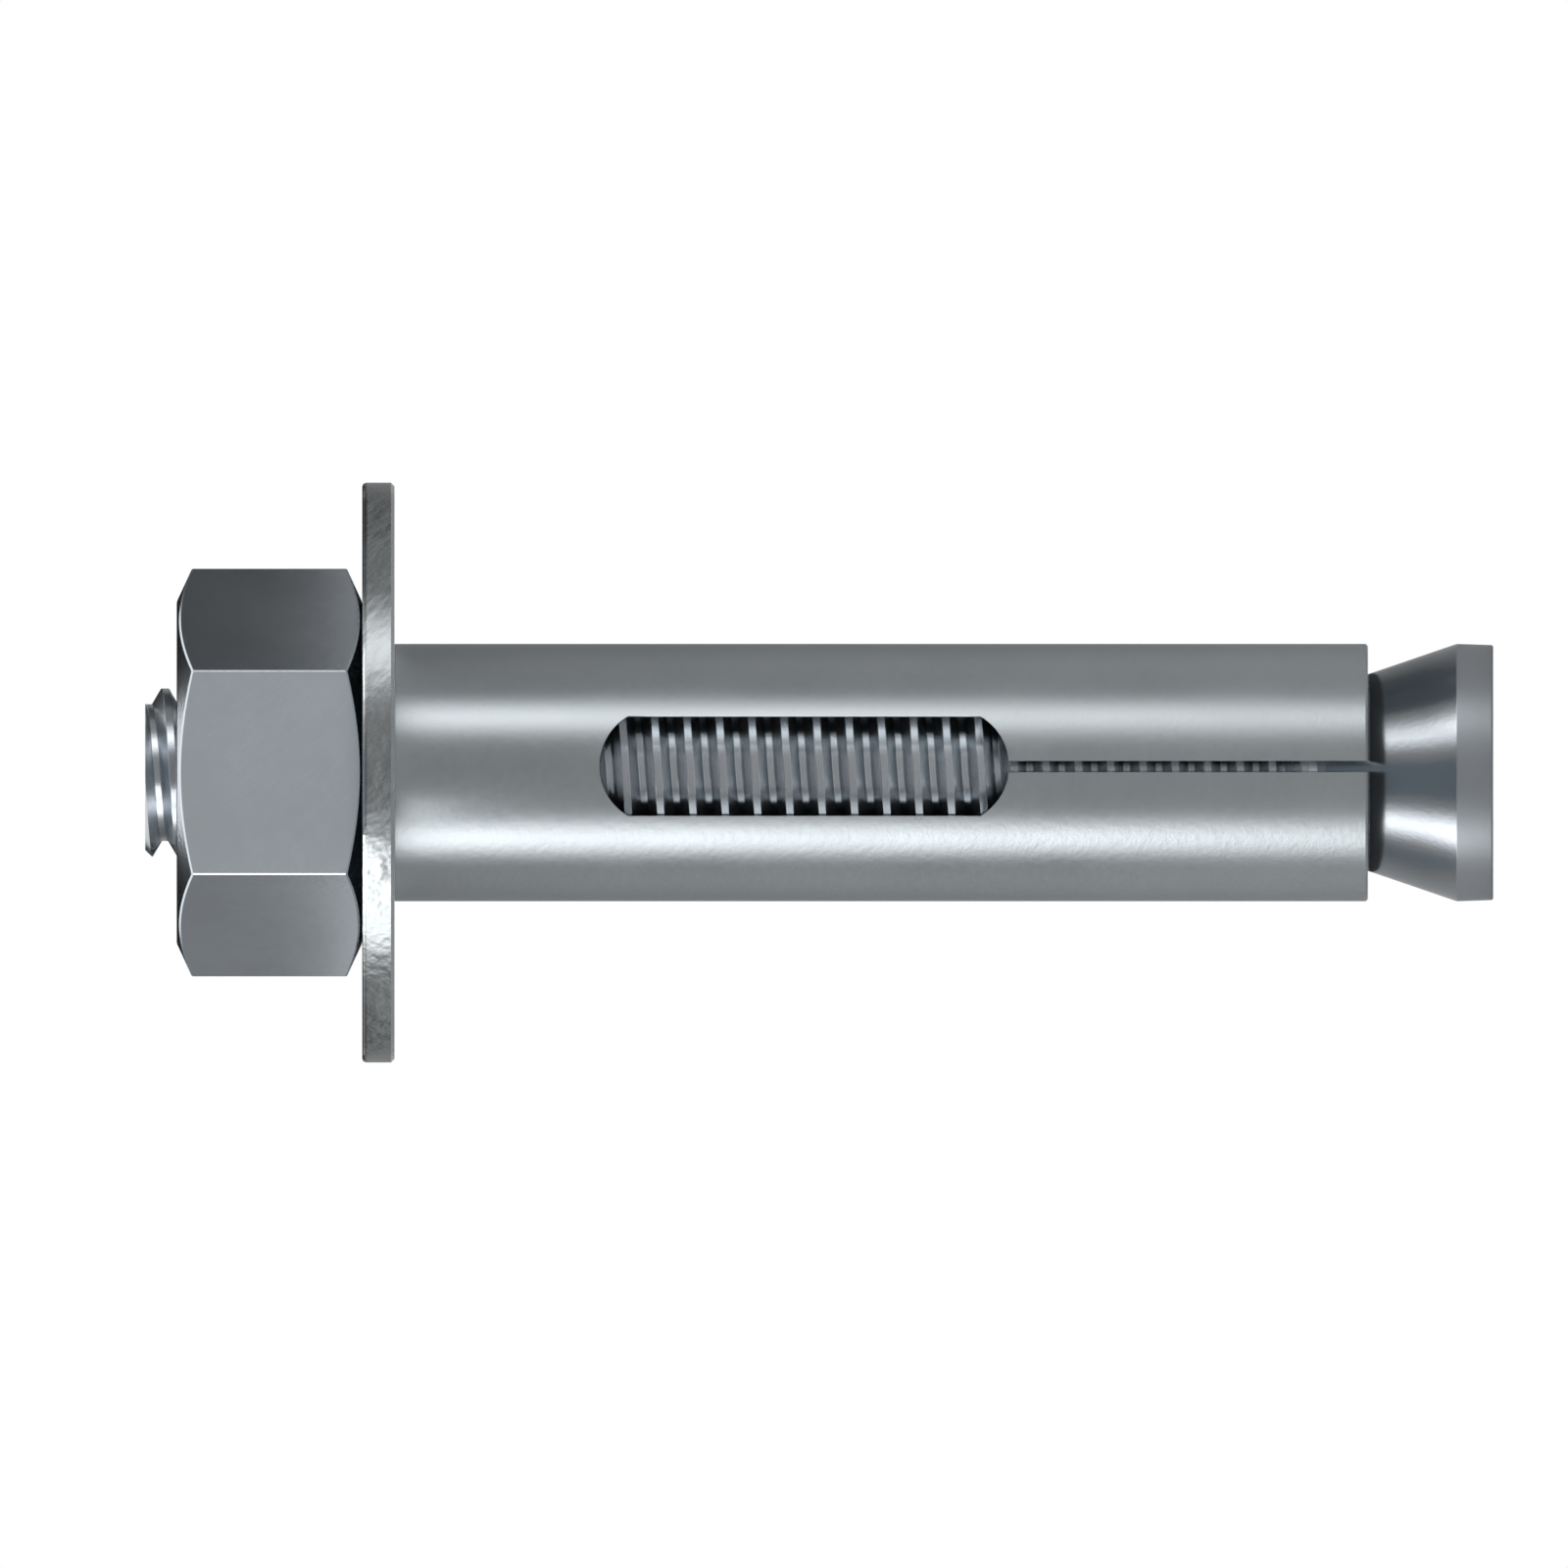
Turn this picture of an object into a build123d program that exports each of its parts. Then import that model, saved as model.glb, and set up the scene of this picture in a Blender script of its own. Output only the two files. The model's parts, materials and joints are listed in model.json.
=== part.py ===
from build123d import *
from math import cos, radians, tan
import os

os.makedirs("parts", exist_ok=True)

# A sleeve anchor standing on its cone: a stud with a flared cone, a slotted sleeve, a washer, a nut.
# Z is the anchor's axis and points to the nut. The origin is on the axis, in the plane where the
# washer bears: the sleeve hangs below it and the washer and the nut stand on it.

# Stud, in millimetres
thread_diameter = 8.3
stud_projection = 1.55
stud_end_chamfer = 0.33

# Cone at the stud's lower end; the angle is from the axis to the cone's side, and the seat is where
# the cone passes the sleeve's lower end
cone_half_angle = 18.9
cone_seat_diameter = 9.7
rim_length = 1.8
rim_draft_angle = 2.0
tip_rounding = 0.1

# Sleeve
sleeve_diameter = 12.7
sleeve_length = 48.0
sleeve_end_rounding = 0.12

# Openings in the sleeve, all straight cuts square to the axis; angles go round from the front, -Y
window_from_top = 10.1
window_length = 20.2
window_width = 4.9
window_end_bulge = 1.41
slit_width = 0.55
seam_gap = 0.35
petals = 3
first_window_angle = 3.05

# Washer
washer_diameter = 28.6
washer_hole = 9.0
washer_thickness = 1.6
washer_edge_chamfer = 0.14

# Nut
nut_across_flats = 17.45
nut_height = 9.15
nut_face_circle = 16.84
nut_chamfer_angle = 24.8
nut_countersink = 0.45

# Clearances, measured on the radius
sleeve_thread_clearance = 0.15
cone_seat_clearance = 0.05
nut_thread_clearance = 0.05

# Places and radii that follow from the sizes above
stud_radius = thread_diameter / 2
sleeve_radius = sleeve_diameter / 2
bore_radius = stud_radius + sleeve_thread_clearance
nut_seat = washer_thickness
nut_top = nut_seat + nut_height
stud_top = nut_top + stud_projection
sleeve_end = -sleeve_length

# The cone enters the sleeve's lower end and grows to the sleeve's outside below it
cone_slope = tan(radians(cone_half_angle))
seat_radius = cone_seat_diameter / 2
cone_top = sleeve_end + (seat_radius - stud_radius) / cone_slope
rim_top = sleeve_end - (sleeve_radius - seat_radius) / cone_slope
tip = rim_top - rim_length
tip_radius = sleeve_radius - rim_length * tan(radians(rim_draft_angle))

# The sleeve's mouth widens along the cone from the bore to its lower end
mouth_radius = seat_radius + cone_seat_clearance
mouth_top = sleeve_end + (mouth_radius - bore_radius) / cone_slope

# Stud: one turned profile, from the chamfered end down to the cone, its rim and the flat tip
with BuildPart() as cone_stud:
    with BuildSketch(Plane.XZ) as stud_section:
        with BuildLine():
            Polyline(
                (0, stud_top),
                (stud_radius - stud_end_chamfer, stud_top),
                (stud_radius, stud_top - stud_end_chamfer),
                (stud_radius, cone_top),
                (sleeve_radius, rim_top),
                (tip_radius, tip),
                (0, tip),
                close=True,
            )
        make_face()
        tip_corner = stud_section.vertices().group_by(Axis.Y)[0].sort_by(Axis.X)[-1]
        fillet(tip_corner, tip_rounding)
    revolve(axis=Axis.Z)
cone_stud.part.label = "cone_stud"

# Sleeve: a tube with a tapered mouth over the cone, its lower rims eased, opened by windows with slits
# below them and by its seam
with BuildPart() as expansion_sleeve:
    with BuildSketch(Plane.XZ) as wall_section:
        with BuildLine():
            Polyline(
                (bore_radius, 0),
                (sleeve_radius, 0),
                (sleeve_radius, sleeve_end),
                (mouth_radius, sleeve_end),
                (bore_radius, mouth_top),
                close=True,
            )
        make_face()
        fillet(wall_section.vertices().group_by(Axis.Y)[0], sleeve_end_rounding)
    revolve(axis=Axis.Z)

    for petal in range(petals):
        outward = Vector(0, -1, 0).rotate(Axis.Z, first_window_angle + petal * 360 / petals)
        cut_plane = Plane(origin=(0, 0, 0), x_dir=(0, 0, 1), z_dir=outward)
        with BuildSketch(cut_plane):
            if petal < petals - 1:
                window_top = -window_from_top
                window_end = window_top - window_length
                side_top = window_top - window_end_bulge
                side_end = window_end + window_end_bulge
                half_width = window_width / 2
                with BuildLine():
                    Line((side_top, half_width), (side_end, half_width))
                    ThreePointArc((side_end, half_width), (window_end, 0), (side_end, -half_width))
                    Line((side_end, -half_width), (side_top, -half_width))
                    ThreePointArc((side_top, -half_width), (window_top, 0), (side_top, half_width))
                make_face()
                with Locations((side_end, 0)):
                    Rectangle(side_end - sleeve_end, slit_width, align=(Align.MAX, Align.CENTER))
            else:
                Rectangle(sleeve_length, seam_gap, align=(Align.MAX, Align.CENTER))
        extrude(amount=sleeve_diameter, mode=Mode.SUBTRACT)
expansion_sleeve.part.label = "expansion_sleeve"

# Washer: a flat ring with eased outer edges
with BuildPart() as flat_washer:
    with BuildSketch(Plane.XZ) as washer_section:
        with Locations((washer_hole / 2, 0)):
            Rectangle((washer_diameter - washer_hole) / 2, washer_thickness, align=Align.MIN)
        chamfer(washer_section.vertices().group_by(Axis.X)[-1], washer_edge_chamfer)
    revolve(axis=Axis.Z)
flat_washer.part.label = "flat_washer"

# Nut: a hexagon with flats to the front and back, turned to a shallow cone at both faces
nut_bore = thread_diameter + 2 * nut_thread_clearance
corner_radius = nut_across_flats / 2 / cos(radians(30))
face_radius = nut_face_circle / 2
corner_drop = (corner_radius - face_radius) * tan(radians(nut_chamfer_angle))
with BuildPart() as hex_nut:
    with BuildSketch(Plane.XY.offset(nut_seat)):
        RegularPolygon(nut_across_flats / 2, 6, major_radius=False)
    extrude(amount=nut_height)
    with BuildSketch(Plane.XZ):
        with BuildLine():
            Polyline(
                (0, nut_seat),
                (face_radius, nut_seat),
                (corner_radius, nut_seat + corner_drop),
                (corner_radius, nut_top - corner_drop),
                (face_radius, nut_top),
                (0, nut_top),
                close=True,
            )
        make_face()
    revolve(axis=Axis.Z, mode=Mode.INTERSECT)
    with Locations((0, 0, nut_top)):
        Hole(nut_bore / 2)
    bore_rims = hex_nut.edges().filter_by(GeomType.CIRCLE).group_by(SortBy.RADIUS)[0]
    chamfer(bore_rims, nut_countersink)
hex_nut.part.label = "hex_nut"

export_step(cone_stud.part, "parts/cone_stud.step")
export_step(expansion_sleeve.part, "parts/expansion_sleeve.step")
export_step(flat_washer.part, "parts/flat_washer.step")
export_step(hex_nut.part, "parts/hex_nut.step")
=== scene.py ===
import json
import math

import bmesh
import bpy
from mathutils import Matrix, Vector
from mathutils.geometry import delaunay_2d_cdt


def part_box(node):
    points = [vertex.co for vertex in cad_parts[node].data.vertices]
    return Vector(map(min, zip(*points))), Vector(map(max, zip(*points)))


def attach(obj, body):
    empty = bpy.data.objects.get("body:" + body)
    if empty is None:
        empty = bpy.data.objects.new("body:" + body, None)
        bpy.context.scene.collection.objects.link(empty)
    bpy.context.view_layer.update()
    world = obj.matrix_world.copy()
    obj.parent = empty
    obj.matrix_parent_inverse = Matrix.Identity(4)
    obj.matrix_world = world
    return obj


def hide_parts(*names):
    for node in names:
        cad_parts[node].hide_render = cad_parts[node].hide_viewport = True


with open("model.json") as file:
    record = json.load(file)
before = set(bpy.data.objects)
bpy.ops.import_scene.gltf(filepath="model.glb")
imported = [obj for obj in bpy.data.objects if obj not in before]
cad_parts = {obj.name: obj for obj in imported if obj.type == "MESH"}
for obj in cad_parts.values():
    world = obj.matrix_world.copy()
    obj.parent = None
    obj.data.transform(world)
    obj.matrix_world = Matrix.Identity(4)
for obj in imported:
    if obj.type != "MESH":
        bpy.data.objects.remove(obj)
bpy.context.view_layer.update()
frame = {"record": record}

MM = 0.001

# Places and sizes that the frame gives
stud_low, stud_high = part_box("cone_stud")
sleeve_low, sleeve_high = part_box("expansion_sleeve")
washer_low, washer_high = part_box("flat_washer")
nut_low, nut_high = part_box("hex_nut")
STUD_TOP = stud_high.z
TIP = stud_low.z
SLEEVE_END = sleeve_low.z
SLEEVE_RADIUS = sleeve_high.x
WASHER_RADIUS = washer_high.x
NUT_HALF_FLATS = nut_high.y
SCREW_RATIO = frame["record"]["behaviour"]["couplings"][0]["ratio"]

# A turn between two faces that is gentler than this is shaded as a curve
CRISP_TURN = math.radians(10)

# Rolled thread of the stud: a right-hand trapezoid with 30 degree flanks
THREAD_RADIUS = 4.15 * MM
THREAD_DEPTH = 0.775 * MM
THREAD_PITCH = SCREW_RATIO * math.tau
ROOT_RADIUS = THREAD_RADIUS - THREAD_DEPTH
CREST_FLAT = 0.37 * MM
FLANK_RUN = THREAD_DEPTH * math.tan(math.radians(30))
CREST_HEIGHT = 11.322 * MM
CREST_EASE = 0.02 * MM
ROOT_EASE = 0.025 * MM
THREAD_STEPS = 96
STUD_END_CHAMFER = 0.33 * MM

# Rows of points across the stud's end, as shares of its radius, and along the cone and its tip
STUD_END_ROWS = (0.97, 0.6, 0.3)
CONE_ROWS = (0, 0.25, 0.5, 0.75)
TIP_ROWS = (0.35, 0.7)

# Cone and rim of the stud, and the sleeve's bore with its mouth along the cone
BORE_RADIUS = THREAD_RADIUS + 0.03 * MM
SEAT_RADIUS = 4.85 * MM
MOUTH_RADIUS = SEAT_RADIUS + 0.05 * MM
CONE_SLOPE = math.tan(math.radians(18.9))
RIM_TOP = SLEEVE_END - (SLEEVE_RADIUS - SEAT_RADIUS) / CONE_SLOPE
RIM_DRAFT = math.tan(math.radians(2))
RIM_EASE = 0.08 * MM
TIP_ROUNDING = 0.1 * MM

# Openings of the sleeve, straight cuts that miss the axis by an offset; angles go round from the
# front, -Y, towards +X
WINDOW_FROM_TOP = 10.1 * MM
WINDOW_LENGTH = 20.2 * MM
WINDOW_HALF_WIDTH = 2.45 * MM
WINDOW_END_BULGE = 1.41 * MM
SLIT_HALF_WIDTH = 0.275 * MM
SEAM_HALF_GAP = 0.175 * MM
PETALS = 3
FIRST_CUT_ANGLE = math.radians(-1.2)
CUT_OFFSET = 0.434 * MM
CUT_EASE = 0.03 * MM
SLEEVE_END_EASE = 0.12 * MM

# Rows of an eased edge of the sleeve: how far round the edge each lies and faces, in degrees
EASED_ROWS = ((0, 0), (8, 45), (82, 45), (90, 90))

# Spacing of the sleeve's points: round it, along its cuts and along its wall, and the number of
# points in the curved ends of a window
SLEEVE_TURN_STEP = math.radians(3)
CUT_STEP = 1 * MM
WALL_STEP = 1.6 * MM
WINDOW_CROWN_POINTS = 25
WINDOW_FOOT_POINTS = 12

# A corner of a cut that turns less than this, as the sine of its turn, is inset as if it were straight
STRAIGHT_BEND = 0.15

# Washer
WASHER_HOLE_RADIUS = 4.5 * MM
WASHER_HOLE_EASE = 0.08 * MM
WASHER_TOP_EASE = 0.2 * MM
WASHER_EASE_START = WASHER_TOP_EASE * 1.3
WASHER_BEARING_CHAMFER = 0.18 * MM
WASHER_STEPS = 192
WASHER_CRISP_TURN = math.radians(40)

# Nut
NUT_FACE_RADIUS = 8.42 * MM
NUT_FACE_INSIDE = NUT_FACE_RADIUS - 1 * MM
NUT_CHAMFER_SLOPE = math.tan(math.radians(24.8))
NUT_COUNTERSINK_RADIUS = 4.65 * MM
NUT_MINOR_RADIUS = 3.55 * MM
NUT_THREAD_CLEARANCE = 0.04 * MM
NUT_EDGE_BREAK = 0.065 * MM
NUT_CORNER_LENGTH = 1 * MM
NUT_CORNER_TURN = math.radians(50)


class Skin:
    """Points and faces of a mesh while it is being built."""

    def __init__(self):
        self.points = []
        self.faces = []

    def point(self, position):
        self.points.append(tuple(position))
        return len(self.points) - 1

    def ring(self, steps, radius_at, height_at):
        """Adds a ring of points round the axis and returns their numbers."""
        ring = []
        for step in range(steps):
            angle = math.tau * step / steps
            ring.append(self.point(on_axis(angle, radius_at(angle), height_at(angle))))
        return ring

    def level_ring(self, steps, radius, height):
        """Adds a ring of one radius and height."""
        return self.ring(steps, lambda angle: radius, lambda angle: height)

    def face(self, *corners):
        """Adds a face, leaving out corners that fall together."""
        distinct = [c for c, after in zip(corners, corners[1:] + corners[:1]) if c != after]
        if len(set(distinct)) > 2:
            self.faces.append(tuple(distinct))

    def bridge(self, ring, other, closed=True):
        """Joins two rows of as many points with a band of faces."""
        count = len(ring)
        for step in range(count if closed else count - 1):
            after = (step + 1) % count
            self.face(ring[step], ring[after], other[after], other[step])

    def cap(self, ring, centre):
        """Closes a ring with a fan round a centre point."""
        for step, corner in enumerate(ring):
            self.face(corner, ring[(step + 1) % len(ring)], centre)


def on_axis(angle, radius, height):
    """A place at an angle round the axis, from +X towards +Y."""
    return (radius * math.cos(angle), radius * math.sin(angle), height)


def from_front(angle, radius, height):
    """A place at an angle round the axis, from the front towards +X."""
    return (radius * math.sin(angle), -radius * math.cos(angle), height)


def make_object(name, skin):
    """Turns a skin into an object of the scene."""
    mesh = bpy.data.meshes.new(name)
    mesh.from_pydata(skin.points, [], skin.faces)
    made = bpy.data.objects.new(name, mesh)
    bpy.context.scene.collection.objects.link(made)
    return made


def make_piece(name, skin, material, body, node):
    """Turns a skin into a piece that rides on its body and stands for its node."""
    piece = make_object(name, skin)
    mesh = piece.data
    shape = bmesh.new()
    shape.from_mesh(mesh)
    bmesh.ops.recalc_face_normals(shape, faces=shape.faces)
    shape.to_mesh(mesh)
    shape.free()
    mesh.shade_smooth()
    mesh.materials.append(material)
    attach(piece, body)
    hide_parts(node)
    return piece


# Thread
def eased_corner(before, corner, after, arm):
    """Three points that round a corner, from an arm's length before it to one after it."""
    start = corner + (before - corner).normalized() * arm
    end = corner + (after - corner).normalized() * arm
    return [start, (start + corner * 2 + end) / 4, end]


def thread_profile():
    """One pitch of the thread as (rise, depth) points, from one crest's middle towards the next."""
    crest = Vector((0, 0))
    crest_corner = Vector((CREST_FLAT / 2, 0))
    root_corner = Vector((CREST_FLAT / 2 + FLANK_RUN, THREAD_DEPTH))
    root = Vector((THREAD_PITCH / 2, THREAD_DEPTH))
    rising = [crest]
    rising += eased_corner(crest, crest_corner, root_corner, CREST_EASE)
    rising += eased_corner(crest_corner, root_corner, root, ROOT_EASE)
    falling = [Vector((THREAD_PITCH - p.x, p.y)) for p in reversed(rising[1:])]
    return rising + [root] + falling


PROFILE = thread_profile()


def thread_depth(angle, height):
    """How far the thread's surface lies below its crests at a place on the stud."""
    rise = (height - CREST_HEIGHT - THREAD_PITCH * angle / math.tau) % THREAD_PITCH
    rise = min(rise, THREAD_PITCH - rise)
    for before, after in zip(PROFILE, PROFILE[1:]):
        if rise <= after.x:
            share = (rise - before.x) / (after.x - before.x)
            return before.y + (after.y - before.y) * share
    return THREAD_DEPTH


def add_thread(skin, low, high, radius_at):
    """Adds a helical skin between two heights, its rows along the thread; returns its end rings."""
    low_ring = skin.ring(THREAD_STEPS, lambda angle: radius_at(angle, low), lambda angle: low)
    high_ring = skin.ring(THREAD_STEPS, lambda angle: radius_at(angle, high), lambda angle: high)
    # Whole turns, with some to spare past either end
    first_turn = math.floor((low - CREST_HEIGHT) / THREAD_PITCH) - 2
    last_turn = math.ceil((high - CREST_HEIGHT) / THREAD_PITCH) + 1
    rows = []
    for step in range(first_turn * THREAD_STEPS, (last_turn + 1) * THREAD_STEPS):
        angle = math.tau * (step % THREAD_STEPS) / THREAD_STEPS
        row = []
        for place in PROFILE:
            height = CREST_HEIGHT + THREAD_PITCH * step / THREAD_STEPS + place.x
            if height <= low:
                row.append(low_ring[step % THREAD_STEPS])
            elif height >= high:
                row.append(high_ring[step % THREAD_STEPS])
            else:
                row.append(skin.point(on_axis(angle, radius_at(angle, height), height)))
        rows.append(row)
    for step in range(len(rows) - THREAD_STEPS - 1):
        here = rows[step] + [rows[step + THREAD_STEPS][0]]
        after = rows[step + 1] + [rows[step + 1 + THREAD_STEPS][0]]
        skin.bridge(here, after, closed=False)
    return low_ring, high_ring


# Stud
def stud_radius_at(angle, height):
    """The thread, chamfered at the stud's end and running out on the cone."""
    radius = THREAD_RADIUS - thread_depth(angle, height)
    radius = min(radius, THREAD_RADIUS - STUD_END_CHAMFER + STUD_TOP - height)
    cone = SEAT_RADIUS + (SLEEVE_END - height) * CONE_SLOPE
    return max(radius, cone)


def cone_outline():
    """Radius and height down the cone, over the rim and round to the flat tip."""
    cone_top = SLEEVE_END + (SEAT_RADIUS - THREAD_RADIUS) / CONE_SLOPE
    tip_radius = SLEEVE_RADIUS - (RIM_TOP - TIP) * RIM_DRAFT
    start = Vector((THREAD_RADIUS, cone_top))
    shoulder = Vector((SLEEVE_RADIUS, RIM_TOP))
    tip_corner = Vector((tip_radius, TIP))
    centre = Vector((0, TIP))
    outline = [start.lerp(shoulder, share) for share in CONE_ROWS]
    outline += eased_corner(start, shoulder, tip_corner, RIM_EASE)
    outline += eased_corner(shoulder, tip_corner, centre, TIP_ROUNDING)
    outline += [tip_corner.lerp(centre, share) for share in TIP_ROWS]
    return outline


def make_stud(material):
    """The bolt: rolled thread, forged cone and rim, in one skin."""
    skin = Skin()
    outline = cone_outline()
    low_ring, high_ring = add_thread(skin, outline[0].y, STUD_TOP, stud_radius_at)
    ring = low_ring
    for place in outline[1:]:
        below = skin.level_ring(THREAD_STEPS, place.x, place.y)
        skin.bridge(ring, below)
        ring = below
    skin.cap(ring, skin.point((0, 0, TIP)))
    ring = high_ring
    for share in STUD_END_ROWS:
        inner = skin.ring(
            THREAD_STEPS,
            lambda angle: stud_radius_at(angle, STUD_TOP) * share,
            lambda angle: STUD_TOP,
        )
        skin.bridge(ring, inner)
        ring = inner
    skin.cap(ring, skin.point((0, 0, STUD_TOP)))
    stud = make_piece("threaded_cone_bolt", skin, material, "stud", "cone_stud")
    stud.data.set_sharp_from_angle(angle=CRISP_TURN)


# Nut
def nut_radius_at(angle, height):
    """The thread inside the nut, opened by a countersink at both faces."""
    radius = THREAD_RADIUS + NUT_THREAD_CLEARANCE - thread_depth(angle, height)
    from_face = min(height - nut_low.z, nut_high.z - height)
    return max(radius, NUT_MINOR_RADIUS, NUT_COUNTERSINK_RADIUS - from_face)


def hexagon_radius(angle):
    """Distance from the axis to the flats; one flat faces the front."""
    return NUT_HALF_FLATS / math.cos((angle % (math.pi / 3)) - math.pi / 6)


def nut_chamfer_drop(angle):
    """How far below the nut's face its turned chamfer meets the flats."""
    return (hexagon_radius(angle) - NUT_FACE_RADIUS) * NUT_CHAMFER_SLOPE


def make_nut(material):
    """The hex nut, with a turned chamfer at both faces and a right-hand thread inside."""
    skin = Skin()
    low_ring, high_ring = add_thread(skin, nut_low.z, nut_high.z, nut_radius_at)
    eased = []
    sides = []
    for thread_ring, face, inward in ((low_ring, nut_low.z, 1), (high_ring, nut_high.z, -1)):
        face_inside = skin.level_ring(THREAD_STEPS, NUT_FACE_INSIDE, face)
        face_edge = skin.level_ring(THREAD_STEPS, NUT_FACE_RADIUS, face)
        side = skin.ring(
            THREAD_STEPS, hexagon_radius, lambda angle: face + inward * nut_chamfer_drop(angle)
        )
        skin.bridge(thread_ring, face_inside)
        skin.bridge(face_inside, face_edge)
        skin.bridge(face_edge, side)
        for ring in (face_edge, side):
            eased += list(zip(ring, ring[1:] + ring[:1]))
        sides.append(side)
    skin.bridge(*sides)
    nut = make_piece("hexagon_nut_body", skin, material, "nut", "hex_nut")
    break_edges(nut, lambda shape: edges_between(shape, eased), 1)
    break_edges(nut, hexagon_corners, 2)
    nut.data.set_sharp_from_angle(angle=CRISP_TURN)


def edges_between(shape, pairs):
    """The edges that join pairs of points."""
    shape.verts.ensure_lookup_table()
    return [shape.edges.get((shape.verts[start], shape.verts[end])) for start, end in pairs]


def hexagon_corners(shape):
    """The six long edges where two flats meet."""
    return [
        edge
        for edge in shape.edges
        if edge.calc_length() > NUT_CORNER_LENGTH and edge.calc_face_angle(0) > NUT_CORNER_TURN
    ]


def break_edges(piece, choose, strips):
    """Breaks the edges that a rule chooses, each with one or more narrow flat strips."""
    shape = bmesh.new()
    shape.from_mesh(piece.data)
    bmesh.ops.bevel(
        shape,
        geom=choose(shape),
        offset=NUT_EDGE_BREAK,
        segments=strips,
        profile=0.5,
        affect="EDGES",
        clamp_overlap=False,
    )
    shape.to_mesh(piece.data)
    shape.free()


# Washer
def make_washer(material):
    """The punched washer: a rolled edge by the nut, a crisp chamfer below and an eased hole."""
    low, high = washer_low.z, washer_high.z
    bearing_hole = Vector((WASHER_HOLE_RADIUS, low))
    bearing_rim = Vector((WASHER_RADIUS, low))
    top_rim = Vector((WASHER_RADIUS, high))
    top_hole = Vector((WASHER_HOLE_RADIUS, high))
    outline = eased_corner(top_hole, bearing_hole, bearing_rim, WASHER_HOLE_EASE)
    outline.append(bearing_rim - Vector((WASHER_BEARING_CHAMFER, 0)))
    outline.append(bearing_rim + Vector((0, WASHER_BEARING_CHAMFER)))
    outline.append(top_rim - Vector((0, WASHER_EASE_START)))
    outline += eased_corner(bearing_rim, top_rim, top_hole, WASHER_TOP_EASE)
    outline.append(top_rim - Vector((WASHER_EASE_START, 0)))
    outline += eased_corner(top_rim, top_hole, bearing_hole, WASHER_HOLE_EASE)
    skin = Skin()
    rings = [skin.level_ring(WASHER_STEPS, place.x, place.y) for place in outline]
    for ring, after in zip(rings, rings[1:] + rings[:1]):
        skin.bridge(ring, after)
    washer = make_piece("punched_flat_ring", skin, material, "washer", "flat_washer")
    washer.data.set_sharp_from_angle(angle=WASHER_CRISP_TURN)


# Sleeve
def arc_points(start, middle, end, count):
    """Points along the circle through three places, both ends included."""
    (ax, ay), (bx, by), (cx, cy) = start, middle, end
    d = 2 * (ax * (by - cy) + bx * (cy - ay) + cx * (ay - by))
    a2, b2, c2 = ax * ax + ay * ay, bx * bx + by * by, cx * cx + cy * cy
    centre = Vector(
        (
            (a2 * (by - cy) + b2 * (cy - ay) + c2 * (ay - by)) / d,
            (a2 * (cx - bx) + b2 * (ax - cx) + c2 * (bx - ax)) / d,
        )
    )
    radius = (Vector(start) - centre).length
    first = math.atan2(ay - centre.y, ax - centre.x)
    turn = math.atan2(cy - centre.y, cx - centre.x) - first
    turn = (turn + math.pi) % math.tau - math.pi
    return [
        (
            centre.x + radius * math.cos(first + turn * i / (count - 1)),
            centre.y + radius * math.sin(first + turn * i / (count - 1)),
        )
        for i in range(count)
    ]


def line_points(start, end, spacing):
    """Points along a straight edge, its ends left out."""
    length = (Vector(end) - Vector(start)).length
    count = max(1, round(length / spacing))
    return [tuple(Vector(start).lerp(Vector(end), i / count)) for i in range(1, count)]


def window_outline():
    """A window and its slit as (across, height), from the slit's left foot round to its right."""
    top = -WINDOW_FROM_TOP
    bottom = top - WINDOW_LENGTH
    side_top = top - WINDOW_END_BULGE
    side_end = bottom + WINDOW_END_BULGE
    end_radius = (WINDOW_HALF_WIDTH**2 + WINDOW_END_BULGE**2) / (2 * WINDOW_END_BULGE)
    slit_top = bottom + end_radius - math.sqrt(end_radius**2 - SLIT_HALF_WIDTH**2)
    # A place on the curve between the slit and the window's side
    part_way = WINDOW_HALF_WIDTH * 0.7
    bend = (-part_way, bottom + end_radius - math.sqrt(end_radius**2 - part_way**2))
    slit_foot = (-SLIT_HALF_WIDTH, SLEEVE_END)
    slit_head = (-SLIT_HALF_WIDTH, slit_top)
    lower_kink = (-WINDOW_HALF_WIDTH, side_end)
    upper_kink = (-WINDOW_HALF_WIDTH, side_top)
    left = [slit_foot] + line_points(slit_foot, slit_head, CUT_STEP)
    left += arc_points(slit_head, bend, lower_kink, WINDOW_FOOT_POINTS)
    left += line_points(lower_kink, upper_kink, CUT_STEP)
    far_kink = (WINDOW_HALF_WIDTH, side_top)
    crown = arc_points(upper_kink, (0, top), far_kink, WINDOW_CROWN_POINTS)
    right = [(-across, height) for across, height in reversed(left)]
    return left + crown + right


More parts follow.
